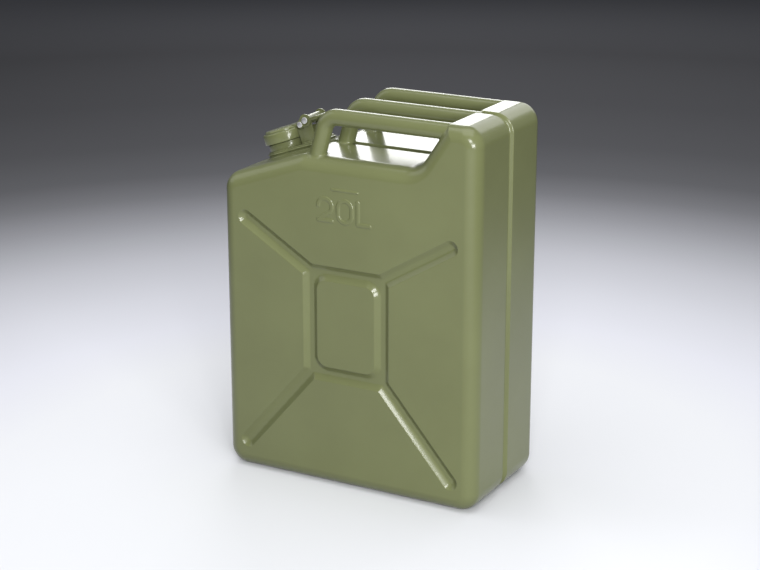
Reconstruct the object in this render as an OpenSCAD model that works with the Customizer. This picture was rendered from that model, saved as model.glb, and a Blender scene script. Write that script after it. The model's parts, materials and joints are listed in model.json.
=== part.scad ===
// Pressed steel jerrycan with three carrying handles and a lever closure.
// Millimetres, Z up, X from the spout side to the high side, Y away from the marked face.
// The origin is the middle of the base, on the floor.

/* [Body] */
// Width over the two sides
body_w = 345; // [250:1:450]
// Depth over the two pressed faces
body_d = 172; // [120:1:230]
// Height of the raised end and of the handle tops
body_h = 468; // [350:1:600]
// Depth of the sunk deck below the raised end
deck_drop = 56.5; // [40:0.5:90]
// Distance of the raised end's edge from the side
step_inset = 43.5; // [30:0.5:70]
// Slope of the wall between the deck and the raised end, in degrees
step_slope = 56.4; // [45:0.1:80]
// Width of the spout shoulder
shoulder_w = 110.5; // [90:0.5:130]
// Fall of the spout shoulder, in degrees
shoulder_fall = 19.4; // [10:0.1:30]
// Radius of the outline's main corners
corner_r = 24; // [15:0.5:40]
// Radius of the raised end's inner edge
step_r = 3; // [1:0.5:10]
// Radius where the deck meets the raised end
valley_r = 27; // [10:1:40]
// Radius where the shoulder meets the deck
shoulder_r = 30; // [10:1:60]
// Radius between the sides and the faces
fillet_r = 18; // [8:0.5:22]
// Sheet thickness of the pressed halves
wall = 0.9; // [0.8:0.1:3]

/* [Seam] */
// Depth of the channel that the seam lies in
channel_d = 4.5; // [2:0.5:8]
// Half width of the channel's flat floor
channel_half = 4; // [2:0.5:8]
// Width of each sloping channel wall
channel_side_w = 3; // [1:0.5:8]
// Width of the weld bead
bead_w = 4; // [2:0.5:7]
// Height of the weld bead
bead_h = 1.8; // [0.5:0.1:3]

/* [Pressed faces] */
// Depth of the pressed groove
groove_d = 5; // [2:0.5:8]
// Half width of the groove's floor
groove_floor = 2.9; // [1:0.1:6]
// Width of each sloping groove wall
groove_side_w = 6.7; // [3:0.1:10]
// Height of the centre panel's middle above half the face
panel_rise = 2.25; // [0:0.25:20]
// Half width of the groove frame, outside
frame_half_w = 58.4; // [40:0.2:90]
// Half height of the groove frame, outside
frame_half_h = 73; // [50:0.5:100]
// Outer corner radius of the groove frame
frame_r = 12; // [10:0.5:20]
// Half width of the centre panel
panel_half_w = 39.2; // [20:0.2:60]
// Half height of the centre panel
panel_half_h = 54.4; // [30:0.2:80]
// Corner radius of the centre panel
panel_r = 7; // [3:0.5:15]
// Distance of the upper arm tips from the sides
upper_tip_inset = 34; // [30:0.5:60]
// Distance of the upper arm tips below the deck
upper_tip_drop = 86; // [60:0.5:110]
// Distance of the lower arm tips from the sides
lower_tip_inset = 31.5; // [30:0.5:60]
// Height of the lower arm tips
lower_tip_z = 37; // [30:0.5:80]

/* [Capacity mark] */
// Height of the mark's characters
mark_h = 31; // [15:0.5:45]
// Width of one character
mark_w = 23; // [10:0.5:35]
// Space between characters
mark_gap = 3.8; // [2:0.1:8]
// Width of a stroke
mark_stroke = 4.4; // [2:0.1:7]
// Height of the mark above the face
mark_rise = 0.9; // [0.4:0.1:2]
// Distance of the mark's foot line below the deck
mark_drop = 76.5; // [66:0.5:90]
// Width of the plain bar above the mark
bar_w = 34; // [15:1:60]
// Height of the plain bar
bar_h = 2.6; // [1:0.1:5]
// Space between the mark and the bar
bar_gap = 8.4; // [3:0.1:15]

/* [Handles] */
// Outer radius of the handle tubes
tube_r = 10; // [7:0.5:14]
// Wall of the handle tubes
tube_wall = 1.2; // [0.8:0.1:3]
// Distance of the outer handles from the faces
handle_inset = 18.7; // [18.1:0.1:30]
// Distance of the post's foot from the shoulder
post_inset = 15.5; // [10:0.5:40]
// Lean of the posts, in degrees
post_lean = 16; // [0:0.5:30]
// Radius of the bend along the tube's middle
bend_r = 19; // [14:0.5:30]

/* [Spout] */
// Distance of the spout from the side
spout_inset = 49; // [47:0.5:56]
// Radius of the pouring bore
bore_r = 19; // [12:0.5:22]
// Wall of the neck's skirt
skirt_wall = 2; // [1:0.1:4]
// Length of the skirt below the shoulder
skirt_len = 18; // [10:0.5:30]
// Radius of the neck's collar
collar_r = 25.2; // [21:0.1:28]
// Height of the collar's top above the shoulder
collar_top = 15.9; // [12:0.1:18]
// Chamfer at the collar's edges
collar_edge = 0.8; // [0.3:0.1:2]
// Thickness of the base plate under the closure
base_t = 7; // [4:0.5:9]
// Radius of the base plate's round end
base_r = 28.5; // [26:0.5:31]
// Length of the base plate beyond the spout
base_reach = 52; // [40:1:60]
// Half width of the base plate's straight end
base_half = 26; // [20:0.5:29]
// Outer radius of the breather tube
vent_r = 4; // [2:0.5:6]
// Wall of the breather tube
vent_wall = 1; // [0.5:0.1:2]
// Depth of the breather tube below the shoulder
vent_drop = 10.5; // [6:0.5:12]
// Length of the breather tube
vent_len = 36; // [20:1:40]

/* [Lid] */
// Radius of the lid
lid_r = 28.8; // [27:0.1:32]
// Height of the lid's rim band
lid_h = 12.9; // [10:0.1:15]
// Sheet thickness of the lid
lid_wall = 2; // [1:0.1:3]
// Rounding of the lid's upper edge
lid_edge = 1.5; // [0.5:0.1:3]
// Radius of the plate on the lid
plate_r = 25.4; // [20:0.1:29]
// Thickness of the plate on the lid
plate_t = 3; // [2:0.1:5]
// Thickness of the sealing ring
gasket_t = 3.2; // [2:0.1:5]
// Inner radius of the sealing ring
gasket_r = 17; // [12:0.5:18]
// Thickness of the retaining disc
disc_t = 2; // [1:0.1:4]
// Radius of the lid stud
stud_r = 3; // [2:0.1:5]
// Radius of the lid stud's shoulder
stud_shoulder = 5; // [4:0.1:9]
// Height of the lid stud's head
stud_head = 1.2; // [0.6:0.1:2]

/* [Lever and hinge] */
// Distance of the main pin from the spout's axis
pin_off = 43.8; // [42:0.1:48]
// Height of the main pin above the shoulder
pin_h = 33.8; // [32:0.1:38]
// Distance between the main pin and the lid pin
throw_r = 9; // [8.5:0.1:11]
// Direction of the lid pin from the main pin, in degrees
throw_dir = 202.1; // [195:0.1:210]
// Radius of the main pin
main_r = 3; // [2:0.1:4]
// Radius of the main pin's heads
main_head_r = 4.1; // [3.5:0.1:4.8]
// Radius of the lid pin
link_r = 2.2; // [1.5:0.1:2.6]
// Radius of the lid pin's heads
link_head_r = 3.7; // [3:0.1:4]
// Thickness of the pin heads
head_t = 1.8; // [1:0.1:3]
// Radius of the lid's knuckle
knuckle_r = 3.4; // [3.1:0.1:4]
// Length of the lid's knuckle
knuckle_w = 28; // [16:0.5:28.5]
// Sheet thickness of the bracket
cheek_t = 2.2; // [1.5:0.1:3]
// Distance of the bracket's outer faces from the middle
cheek_out = 16.9; // [16:0.1:18]
// Radius of the bracket round the main pin
nose_r = 5.6; // [4.5:0.1:5.8]
// Distance of the bracket's left edge from the spout's axis
cheek_left = 28.7; // [28.4:0.1:32]
// Width of the bracket's foot
cheek_foot = 20.5; // [14:0.5:21]
// Sheet thickness of the lever
lever_t = 1.8; // [1:0.1:2.5]
// Radius of the lever round the main pin
lever_nose_r = 7.6; // [6:0.1:9]
// Height of the lever's tail
tail_h = 3.2; // [2.4:0.1:4]
// Height of the tail's top above the main pin
tail_rise = 1.7; // [1:0.1:2.5]
// Distance of the tail's cross web from the main pin
web_off = 12.5; // [12:0.1:14]
// Length of the lever from the main pin
lever_len = 18; // [16.5:0.5:24]
// Radius of the lever round the lid pin
lever_eye_r = 5; // [4:0.1:6]
// Radius of the rolled finger edge
curl_r = 2; // [1.8:0.1:2.6]

/* [Hidden] */
// Gap between faces of parts that move past each other
run_gap = 0.3;
// Radial play of a turning pin
pin_play = 0.05;
// Radial play of a part set into a hole
seat_play = 0.2;
// Overrun of cuts
over = 1;
// Depth of a joining strip's corners inside the circles that it joins
tuck = 0.4;
// Smallest corner radius in an inset ring
sharp_r = 0.5;
// Degrees covered by one side of a rounded corner
arc_step = 13;
// Sides of the edge rounding
fillet_sides = 6;
// Rounded steps of the channel wall, as shares of its depth and width
channel_shares = [[1, 0], [0.82, 0.3], [0.18, 0.7], [0, 1]];
// Half section of the weld bead, as shares of its height and width
bead_shares = [[0, 0.5], [0.75, 0.36], [1, 0], [0.75, -0.36], [0, -0.5]];
round_fn = 96;
small_fn = 48;
press_fn = 20;
// Where the bracket's edge bends in towards the nose
cheek_shares = [0.76, 0.36];
mark_fn = 32;
// Lap and extra radius of a handle's post over its bend
post_lap = 0.4;
post_swell = 0.04;
// Room between the lid pin's path and the bracket
path_play = 0.5;

deck_z = body_h - deck_drop;
step_off = body_w / 2 - step_inset;
shoulder_off = body_w / 2 - shoulder_w;
spout_off = body_w / 2 - spout_inset;
post_off = shoulder_off - post_inset;
handle_pitch = body_d / 2 - handle_inset;
panel_z = deck_z / 2 + panel_rise;
upper_tip_x = body_w / 2 - upper_tip_inset;
upper_tip_z = deck_z - upper_tip_drop;
lower_tip_x = body_w / 2 - lower_tip_inset;
mark_z = deck_z - mark_drop;
foot_off = step_off - (body_h - deck_z) / tan(step_slope);
left_z = deck_z - (body_w / 2 - shoulder_off) * tan(shoulder_fall);
spout_z = left_z + (body_w / 2 - spout_off) * tan(shoulder_fall);
side_y = body_d / 2 - fillet_r;
bar_z = body_h - tube_r;
skirt_r = bore_r + skirt_wall;
lid_z = collar_top + run_gap;
lid_top = lid_z + lid_h;
plate_top = lid_top + plate_t;
link_off = pin_off + throw_r * cos(throw_dir);
link_h = pin_h + throw_r * sin(throw_dir);
lever_in = cheek_out + run_gap;
lever_out = lever_in + lever_t;
sleeve_r = throw_r - knuckle_r - run_gap;
gasket_out = lid_r - lid_wall - seat_play;
disc_z = lid_z + gasket_t;
reach = body_w;

corners = [
    [-body_w / 2, 0, corner_r],
    [body_w / 2, 0, corner_r],
    [body_w / 2, body_h, corner_r],
    [step_off, body_h, step_r],
    [foot_off, deck_z, valley_r],
    [-shoulder_off, deck_z, shoulder_r],
    [-body_w / 2, left_z, corner_r]
];

green = [0.42, 0.44, 0.31];
dark = [0.16, 0.16, 0.16];
steel = [0.78, 0.78, 0.76];

function unit(v) = v / norm(v);
function left_of(u) = [-u[1], u[0]];
function turned(v, a) = [v[0] * cos(a) - v[1] * sin(a), v[0] * sin(a) + v[1] * cos(a)];
function flat(p) = [p[0], p[1]];
function corner_at(i) = corners[(i + len(corners)) % len(corners)];

// One rounded corner of the outline, moved in by the inset
function corner_points(i, inset) =
    let (
        p = flat(corner_at(i)),
        u = unit(p - flat(corner_at(i - 1))),
        v = unit(flat(corner_at(i + 1)) - p),
        nu = left_of(u),
        nv = left_of(v),
        m = (nu + nv) / (1 + nu * nv),
        a = atan2(u[0] * v[1] - u[1] * v[0], u * v),
        s = a > 0 ? 1 : -1,
        r = a > 0 ? max(corner_at(i)[2] - inset, sharp_r) : corner_at(i)[2] + inset,
        c = p + inset * m + s * r * m,
        sides = max(2, ceil(abs(a) / arc_step))
    )
    [for (k = [0:sides]) c - s * r * turned(nu, a * k / sides)];

function ring(inset) = [for (i = [0:len(corners) - 1]) each corner_points(i, inset)];

// The pressing's section from the seam to the face, as inset and depth, moved in by the sheet
function half_section(skin, start) = concat(
    [[channel_d + skin, start]],
    [for (s = channel_shares)
        [channel_d * s[0] + skin, -channel_half - channel_side_w * s[1]]],
    [for (k = [0:fillet_sides])
        [skin + (fillet_r - skin) * (1 - cos(90 * k / fillet_sides)),
            -side_y - (fillet_r - skin) * sin(90 * k / fillet_sides)]]
);

module stack(section) {
    rings = [for (s = section) [for (p = ring(s[0])) [p[0], s[1], p[1]]]];
    count = len(rings[0]);
    last = len(rings) - 1;
    sides = [for (j = [0:last - 1]) for (i = [0:count - 1])
        let (a = j * count + i, b = j * count + (i + 1) % count)
        each [[a, b + count, b], [a, a + count, b + count]]];
    first_cap = [[for (i = [0:count - 1]) i]];
    last_cap = [[for (i = [count - 1:-1:0]) last * count + i]];
    polyhedron([for (r = rings) each r], concat(sides, first_cap, last_cap), convexity = 8);
}

// A cone of the groove, wide at the face and narrow at the groove's floor
module groove_cone(x, z, top_r, skin) {
    slant = norm([groove_side_w, groove_d]) / groove_d;
    grow = skin * slant;
    fall = groove_side_w / groove_d;
    translate([x, -body_d / 2 + groove_d + skin, z])
        rotate([90, 0, 0])
            cylinder(h = groove_d + skin + over,
                r1 = top_r - groove_side_w + grow - skin * fall,
                r2 = top_r + grow + over * fall, $fn = press_fn);
}

module island_cone(x, z, top_r, skin) {
    slant = norm([groove_side_w, groove_d]) / groove_d;
    grow = skin * slant;
    fall = groove_side_w / groove_d;
    translate([x, -body_d / 2 + groove_d + skin + over, z])
        rotate([90, 0, 0])
            cylinder(h = groove_d + skin + over + over,
                r1 = top_r + groove_side_w - grow + (skin + over) * fall,
                r2 = top_r - grow - over * fall, $fn = press_fn);
}

module groove_arm(x0, z0, x1, z1, skin) {
    arm_r = groove_floor + groove_side_w;
    hull() {
        groove_cone(x0, z0, arm_r, skin);
        groove_cone(x1, z1, arm_r, skin);
    }
}

module groove(skin) {
    frame_x = frame_half_w - frame_r;
    frame_z = frame_half_h - frame_r;
    island_x = panel_half_w - panel_r;
    island_z = panel_half_h - panel_r;
    arm_x = (frame_half_w + panel_half_w) / 2;
    arm_z = (frame_half_h + panel_half_h) / 2;
    difference() {
        hull()
            for (sx = [-1, 1], sz = [-1, 1])
                groove_cone(sx * frame_x, panel_z + sz * frame_z, frame_r, skin);
        hull()
            for (sx = [-1, 1], sz = [-1, 1])
                island_cone(sx * island_x, panel_z + sz * island_z, panel_r, skin);
    }
    for (sx = [-1, 1]) {
        groove_arm(sx * arm_x, panel_z + arm_z, sx * upper_tip_x, upper_tip_z, skin);
        groove_arm(sx * arm_x, panel_z - arm_z, sx * lower_tip_x, lower_tip_z, skin);
    }
}

module at_spout() {
    translate([-spout_off, 0, spout_z])
        rotate([0, -shoulder_fall, 0])
            children();
}

module half_shell() {
    difference() {
        stack(half_section(0, 0));
        groove(0);
        difference() {
            stack(half_section(wall, over));
            groove(wall);
        }
        at_spout()
            translate([0, 0, -skirt_len])
                cylinder(h = skirt_len + skirt_len, r = skirt_r + seat_play, $fn = round_fn);
    }
}

// The raised capacity mark, drawn in plain strokes
module stroke_ring(w, h, s) {
    r = w / 2;
    difference() {
        union() {
            translate([r, r])
                circle(r, $fn = mark_fn);
            translate([r, h - r])
                circle(r, $fn = mark_fn);
            translate([0, r])
                square([w, h - w]);
        }
        translate([r, r])
            circle(r - s, $fn = mark_fn);
        translate([r, h - r])
            circle(r - s, $fn = mark_fn);
        translate([s, r])
            square([w - 2 * s, h - w]);
    }
}

module mark_two(w, h, s) {
    r = w / 2;
    translate([r, h - r])
        difference() {
            circle(r, $fn = mark_fn);
            circle(r - s, $fn = mark_fn);
            polygon([[0, 0], [-w, 0], [-w, -w], [w, -w], [w, -r]]);
        }
    polygon([[0, s], [0, 0], [s, 0], [w - s / 4, h - w], [w - s, h - r - s / 2]]);
    square([w, s]);
}

module mark_shape() {
    x0 = -(3 * mark_w + 2 * mark_gap) / 2;
    translate([x0, mark_z])
        mark_two(mark_w, mark_h, mark_stroke);
    translate([x0 + mark_w + mark_gap, mark_z])
        stroke_ring(mark_w, mark_h, mark_stroke);
    translate([x0 + 2 * (mark_w + mark_gap), mark_z]) {
        square([mark_w * 7 / 8, mark_stroke]);
        square([mark_stroke, mark_h]);
    }
    translate([-bar_w / 2, mark_z + mark_h + bar_gap])
        square([bar_w, bar_h]);
}

module front_shell() {
    color(green) {
        half_shell();
        translate([0, -body_d / 2, 0])
            rotate([90, 0, 0])
                translate([0, 0, -wall / 2])
                    linear_extrude(mark_rise + wall / 2)
                        mark_shape();
    }
}

module rear_shell() {
    color(green)
        mirror([0, 1, 0])
            half_shell();
}

module seam_bead() {
    loops = [for (s = bead_shares)
        [for (p = ring(channel_d - bead_h * s[0])) [p[0], bead_w * s[1], p[1]]]];
    count = len(loops[0]);
    rows = len(loops);
    color(green)
        difference() {
            polyhedron([for (l = loops) each l],
                [for (j = [0:rows - 1]) for (i = [0:count - 1])
                    let (
                        a = j * count + i,
                        b = j * count + (i + 1) % count,
                        c = ((j + 1) % rows) * count + (i + 1) % count,
                        d = ((j + 1) % rows) * count + i
                    )
                    each [[a, c, b], [a, d, c]]], convexity = 8);
            at_spout()
                translate([0, 0, -skirt_len])
                    cylinder(h = skirt_len + skirt_len, r = skirt_r + seat_play,
                        $fn = round_fn);
        }
}

// The tube's line: a leaning post, a bend and a level bar
module handle_core(r, extra) {
    corner_x = -post_off + (bar_z - deck_z) * tan(post_lean);
    tangent = bend_r * tan((90 - post_lean) / 2);
    translate([corner_x + tangent, 0, bar_z])
        rotate([0, 90, 0])
            cylinder(h = step_off + tube_r - corner_x - tangent + extra, r = r, $fn = small_fn);
    translate([corner_x + tangent, 0, bar_z - bend_r])
        rotate([90, 0, 0])
            rotate([0, 0, 90])
                rotate_extrude(angle = 90 - post_lean, $fn = round_fn)
                    translate([bend_r, 0])
                        circle(r, $fn = small_fn);
    translate([corner_x, 0, bar_z])
        rotate([0, 180 + post_lean, 0])
            translate([0, 0, tangent - post_lap])
                cylinder(
                    h = (bar_z - deck_z + tube_r) / cos(post_lean) - tangent + post_lap + extra,
                    r = r + post_swell, $fn = small_fn);
}

// The space that the can's body takes up where a handle meets it, with the body's own flats
module body_section() {
    edge = [for (k = [0:fillet_sides])
        [side_y + fillet_r * sin(90 * k / fillet_sides),
            -fillet_r * (1 - cos(90 * k / fillet_sides))]];
    polygon(concat(
        edge,
        [[body_d / 2, -reach], [-body_d / 2, -reach]],
        [for (k = [fillet_sides:-1:0]) [-edge[k][0], edge[k][1]]]
    ));
}

module body_block(y) {
    translate([-reach, -y, deck_z])
        rotate([90, 0, 90])
            linear_extrude(2 * reach)
                body_section();
    translate([step_off, -y, body_h])
        rotate([0, 90 - step_slope, 0])
            translate([0, 0, -reach])
                rotate([0, 0, -90])
                    linear_extrude(2 * reach)
                        rotate(180)
                            body_section();
}

module handle(y) {
    color(green)
        translate([0, y, 0])
            difference() {
                handle_core(tube_r, 0);
                handle_core(tube_r - tube_wall, over);
                body_block(y);
            }
}

module handle_front() {
    handle(-handle_pitch);
}

module handle_middle() {
    handle(0);
}

module handle_rear() {
    handle(handle_pitch);
}

module base_plate() {
    color(green)
        at_spout()
            difference() {
                union() {
                    cylinder(h = base_t, r = base_r, $fn = round_fn);
                    translate([0, -base_half, 0])
                        cube([base_reach, 2 * base_half, base_t]);
                }
                translate([0, 0, -over])
                    cylinder(h = base_t + 2 * over, r = skirt_r + seat_play, $fn = round_fn);
            }
}

module neck() {
    color(green)
        at_spout()
            difference() {
                rotate_extrude($fn = round_fn)
                    polygon([
                        [bore_r, -skirt_len],
                        [skirt_r, -skirt_len],
                        [skirt_r, base_t],
                        [collar_r, base_t],
                        [collar_r, collar_top - collar_edge],
                        [collar_r - collar_edge, collar_top],
                        [bore_r + collar_edge, collar_top],
                        [bore_r, collar_top - collar_edge]
                    ]);
                translate([0, 0, -vent_drop])
                    rotate([0, 90, 0])
                        cylinder(h = reach, r = vent_r + seat_play, $fn = small_fn);
            }
}

module vent_tube() {
    color(steel)
        at_spout()
            translate([bore_r + seat_play, 0, -vent_drop])
                rotate([0, 90, 0])
                    difference() {
                        cylinder(h = vent_len, r = vent_r, $fn = small_fn);
                        translate([0, 0, -over])
                            cylinder(h = vent_len + 2 * over, r = vent_r - vent_wall,
                                $fn = small_fn);
                    }
}

// The bracket's side outline, cut clear of the lid pin's path
module cheek_shape() {
    right_foot = cheek_left + cheek_foot;
    difference() {
        union() {
            polygon([
                [cheek_left, base_t],
                [right_foot, base_t],
                [pin_off + nose_r, pin_h],
                [pin_off, pin_h],
                [pin_off - throw_r * cheek_shares[0], pin_h - throw_r],
                [cheek_left, pin_h - throw_r]
            ]);
            translate([pin_off, pin_h])
                circle(nose_r, $fn = small_fn);
        }
        translate([link_off, link_h])
            circle(link_r + path_play, $fn = small_fn);
    }
}

module at_main() {
    at_spout()
        translate([pin_off, 0, pin_h])
            children();
}

// A bar across the can's middle line, along Y
module cross_bar(r, half) {
    rotate([90, 0, 0])
        translate([0, 0, -half])
            cylinder(h = 2 * half, r = r, $fn = small_fn);
}

module hinge_bracket() {
    color(green)
        difference() {
            union() {
                at_spout() {
                    for (y = [cheek_out, -cheek_out + cheek_t])
                        translate([0, y, 0])
                            rotate([90, 0, 0])
                                linear_extrude(cheek_t)
                                    cheek_shape();
                    translate([cheek_left, -cheek_out + cheek_t / 2, base_t])
                        cube([cheek_foot, 2 * cheek_out - cheek_t, cheek_t]);
                }
                at_main()
                    cross_bar(sleeve_r, cheek_out - cheek_t / 2);
            }
            at_main()
                cross_bar(main_r + pin_play, cheek_out + over);
        }
}

module at_link() {
    at_spout()
        translate([link_off, 0, link_h])
            children();
}

module headed_pin(r, head_r) {
    rotate([90, 0, 0]) {
        translate([0, 0, -lever_out - run_gap])
            cylinder(h = 2 * (lever_out + run_gap), r = r, $fn = small_fn);
        for (s = [0, 1])
            mirror([0, 0, s])
                translate([0, 0, lever_out + run_gap])
                    cylinder(h = head_t, r1 = head_r, r2 = head_r - head_t / 4, $fn = small_fn);
    }
}

module main_pin() {
    color(steel)
        at_main()
            headed_pin(main_r, main_head_r);
}

module lid_pin() {
    color(steel)
        at_link()
            headed_pin(link_r, link_head_r);
}

// The lever's side, in its own frame with the main pin at zero
module lever_side() {
    eye = turned([throw_r, 0], throw_dir);
    across = left_of(unit(eye));
    difference() {
        union() {
            circle(lever_nose_r, $fn = round_fn);
            translate(eye)
                circle(lever_eye_r, $fn = small_fn);
            polygon([
                eye + across * (lever_eye_r - tuck),
                eye - across * (lever_eye_r - tuck),
                -across * (lever_nose_r - tuck),
                across * (lever_nose_r - tuck)
            ]);
            translate([0, tail_rise - tail_h])
                square([lever_len - curl_r, tail_h]);
        }
        circle(main_r + pin_play, $fn = small_fn);
        translate(eye)
            circle(link_r, $fn = small_fn);
    }
}

module lever() {
    color(green)
        at_main() {
            for (y = [lever_out, -lever_in])
                translate([0, y, 0])
                    rotate([90, 0, 0])
                        linear_extrude(lever_t)
                            lever_side();
            translate([web_off, -lever_out, tail_rise - lever_t])
                cube([lever_len - curl_r - web_off, 2 * lever_out, lever_t]);
            translate([lever_len - curl_r, 0, tail_rise - tail_h / 2])
                cross_bar(curl_r, lever_out);
        }
}

module lid_cap() {
    color(green)
        at_spout()
            difference() {
                rotate_extrude($fn = round_fn)
                    polygon([
                        [0, lid_top],
                        [lid_r - lid_edge, lid_top],
                        [lid_r, lid_top - lid_edge],
                        [lid_r, lid_z],
                        [lid_r - lid_wall, lid_z],
                        [lid_r - lid_wall, lid_top - lid_wall],
                        [0, lid_top - lid_wall]
                    ]);
                translate([0, 0, lid_z])
                    cylinder(h = lid_h + over, r = stud_r + seat_play, $fn = small_fn);
            }
}

module lid_plate() {
    color(green)
        at_spout()
            difference() {
                union() {
                    rotate_extrude($fn = round_fn)
                        polygon([
                            [0, lid_top],
                            [plate_r, lid_top],
                            [plate_r, plate_top - lid_edge],
                            [plate_r - lid_edge, plate_top],
                            [0, plate_top]
                        ]);
                    translate([0, -knuckle_w / 2, lid_top])
                        cube([link_off, knuckle_w, link_h + knuckle_r - lid_top - lid_edge]);
                    translate([link_off, knuckle_w / 2, link_h])
                        rotate([90, 0, 0])
                            cylinder(h = knuckle_w, r = knuckle_r, $fn = small_fn);
                }
                translate([link_off, knuckle_w / 2 + over, link_h])
                    rotate([90, 0, 0])
                        cylinder(h = knuckle_w + 2 * over, r = link_r + pin_play,
                            $fn = small_fn);
                translate([0, 0, lid_z])
                    cylinder(h = plate_top - lid_z + over, r = stud_r + seat_play,
                        $fn = small_fn);
            }
}

module gasket() {
    color(dark)
        at_spout()
            translate([0, 0, lid_z])
                difference() {
                    cylinder(h = gasket_t, r = gasket_out, $fn = round_fn);
                    translate([0, 0, -over])
                        cylinder(h = gasket_t + 2 * over, r = gasket_r, $fn = round_fn);
                }
}

module gasket_disc() {
    color(steel)
        at_spout()
            difference() {
                union() {
                    translate([0, 0, disc_z])
                        cylinder(h = disc_t, r = gasket_out, $fn = round_fn);
                    translate([0, 0, lid_z + stud_head])
                        cylinder(h = gasket_t, r = gasket_r - seat_play, $fn = round_fn);
                }
                translate([0, 0, lid_z - over])
                    cylinder(h = lid_h, r = stud_r + seat_play, $fn = small_fn);
            }
}

module lid_stud() {
    color(steel)
        at_spout() {
            translate([0, 0, lid_z])
                cylinder(h = stud_head, r = stud_shoulder, $fn = small_fn);
            translate([0, 0, lid_z])
                cylinder(h = plate_top - lid_z, r = stud_r, $fn = small_fn);
            translate([0, 0, disc_z + disc_t])
                cylinder(h = lid_top - lid_wall - disc_z - disc_t, r = stud_shoulder,
                    $fn = small_fn);
        }
}

front_shell();
rear_shell();
seam_bead();
handle_front();
handle_middle();
handle_rear();
base_plate();
neck();
vent_tube();
hinge_bracket();
main_pin();
lever();
lid_pin();
lid_cap();
lid_plate();
gasket();
gasket_disc();
lid_stud();
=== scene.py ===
"""Looks of a pressed steel jerrycan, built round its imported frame.

Shapes are worked out in millimetres in the part's own frame and turned into metres when a piece is made.
"""
import json
import math

import bmesh
import bpy
import numpy as np
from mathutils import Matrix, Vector
from mathutils.geometry import delaunay_2d_cdt


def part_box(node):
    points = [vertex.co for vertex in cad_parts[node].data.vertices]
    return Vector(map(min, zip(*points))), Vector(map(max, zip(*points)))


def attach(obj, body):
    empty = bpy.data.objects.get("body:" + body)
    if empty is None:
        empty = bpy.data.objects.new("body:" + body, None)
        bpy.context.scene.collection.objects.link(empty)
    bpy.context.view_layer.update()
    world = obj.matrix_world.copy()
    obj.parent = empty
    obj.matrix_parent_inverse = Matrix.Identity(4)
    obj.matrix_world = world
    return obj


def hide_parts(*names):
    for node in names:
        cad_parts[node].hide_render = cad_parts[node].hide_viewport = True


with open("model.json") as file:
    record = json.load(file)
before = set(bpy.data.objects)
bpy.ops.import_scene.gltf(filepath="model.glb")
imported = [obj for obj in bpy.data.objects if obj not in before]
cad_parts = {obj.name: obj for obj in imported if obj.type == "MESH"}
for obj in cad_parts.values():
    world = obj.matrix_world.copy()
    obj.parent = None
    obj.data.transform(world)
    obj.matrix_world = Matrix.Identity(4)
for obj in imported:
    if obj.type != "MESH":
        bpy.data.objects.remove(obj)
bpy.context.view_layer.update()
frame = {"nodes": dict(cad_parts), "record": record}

MM = 0.001

# Body. Sizes that the part's source has too mostly keep their names from there.
shell_low, shell_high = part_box("rear_shell")
body_w = (shell_high.x - shell_low.x) / MM
body_d = 2 * shell_high.y / MM
body_h = shell_high.z / MM
deck_drop = 56.5
deck_z = body_h - deck_drop
step_inset = 43.5
step_x = body_w / 2 - step_inset
step_slope = math.radians(56.4)
shoulder_w = 110.5
shoulder_x = -body_w / 2 + shoulder_w
shoulder_fall = math.radians(19.4)
corner_r = 24
step_r = 3
valley_r = 27
shoulder_r = 30
fillet_r = 18
wall = 0.9
side_y = body_d / 2 - fillet_r
least_r = 1.0  # no corner gets tighter than this where the outline is moved in

# Seam channel and its weld bead
channel_d = 4.5
channel_half = 4
channel_side_w = 3
channel_end = channel_half + channel_side_w
bead_half = 2
bead_h = 1.8
bead_sink = 0.4
bead_gap = 3  # between the bead's ends and the neck's skirt

# Pressed groove: a frame round the centre panel, and four arms
groove_d = 5
groove_side_w = 6.7
groove_half = 9.6
groove_crease = 0.08  # share of the wall over which its slope builds up at the rim
groove_curve = 1.25  # 1 gives a straight wall, and more a wall that flattens towards the floor
groove_soft = 0.4
groove_blend = 1.2
panel_rise = 2.25
panel_z = deck_z / 2 + panel_rise
frame_half = (58.4, 73)
frame_r = 12
panel_half = (39.2, 54.4)
panel_r = 13
upper_tip_inset, upper_tip_drop = 34, 86
lower_tip_inset, lower_tip_z = 31.5, 37
upper_tip = (body_w / 2 - upper_tip_inset, deck_z - upper_tip_drop)
lower_tip = (body_w / 2 - lower_tip_inset, lower_tip_z)

# Capacity mark
mark_h = 31
mark_w = 23
mark_gap = 3.8
mark_stroke = 4.4
mark_rise = 0.9
mark_soft = 1.5
mark_round = 0.4
mark_drop = 76.5
mark_z = deck_z - mark_drop
bar_w = 34
bar_h = 2.6
bar_gap = 8.4

# Handles
tube_r = 10
handle_inset = 18.7
handle_pitch = body_d / 2 - handle_inset
post_inset = 15.5
post_x = shoulder_x + post_inset
post_lean = math.radians(16)
bend_r = 19
bar_z = body_h - tube_r
weld_h = 3.0
weld_sink = 1.0
weld_least = 0.15  # what is left of the weld on top, where the tube runs out level with the raised end
weld_top_gap = 2
weld_fade = 9

# Spout and closure, in the shoulder's own slope: t along it, n away from it
spout_inset = 49
spout_x = -body_w / 2 + spout_inset
left_z = deck_z - shoulder_w * math.tan(shoulder_fall)
spout_z = left_z + spout_inset * math.tan(shoulder_fall)
skirt_r = 21.2
base_t = 7
base_r = 28.5
base_reach = 52
base_half = 26
base_corner = 3
base_sink = 0.3
hole_r = 27  # of the hole in the pressings' skin, hidden under the base plate
pin_off, pin_h = 43.8, 33.8
throw_r, throw_dir = 9, math.radians(202.1)
link_off = pin_off + throw_r * math.cos(throw_dir)
link_h = pin_h + throw_r * math.sin(throw_dir)
pin_reach = 19.3
head_t = 1.8
cheek_out = 16.9
cheek_left = 28.7
cheek_foot = 20.5
rod_r = 1.7
rod_pitch = 1.7
rod_ripple = 0.10

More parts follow.
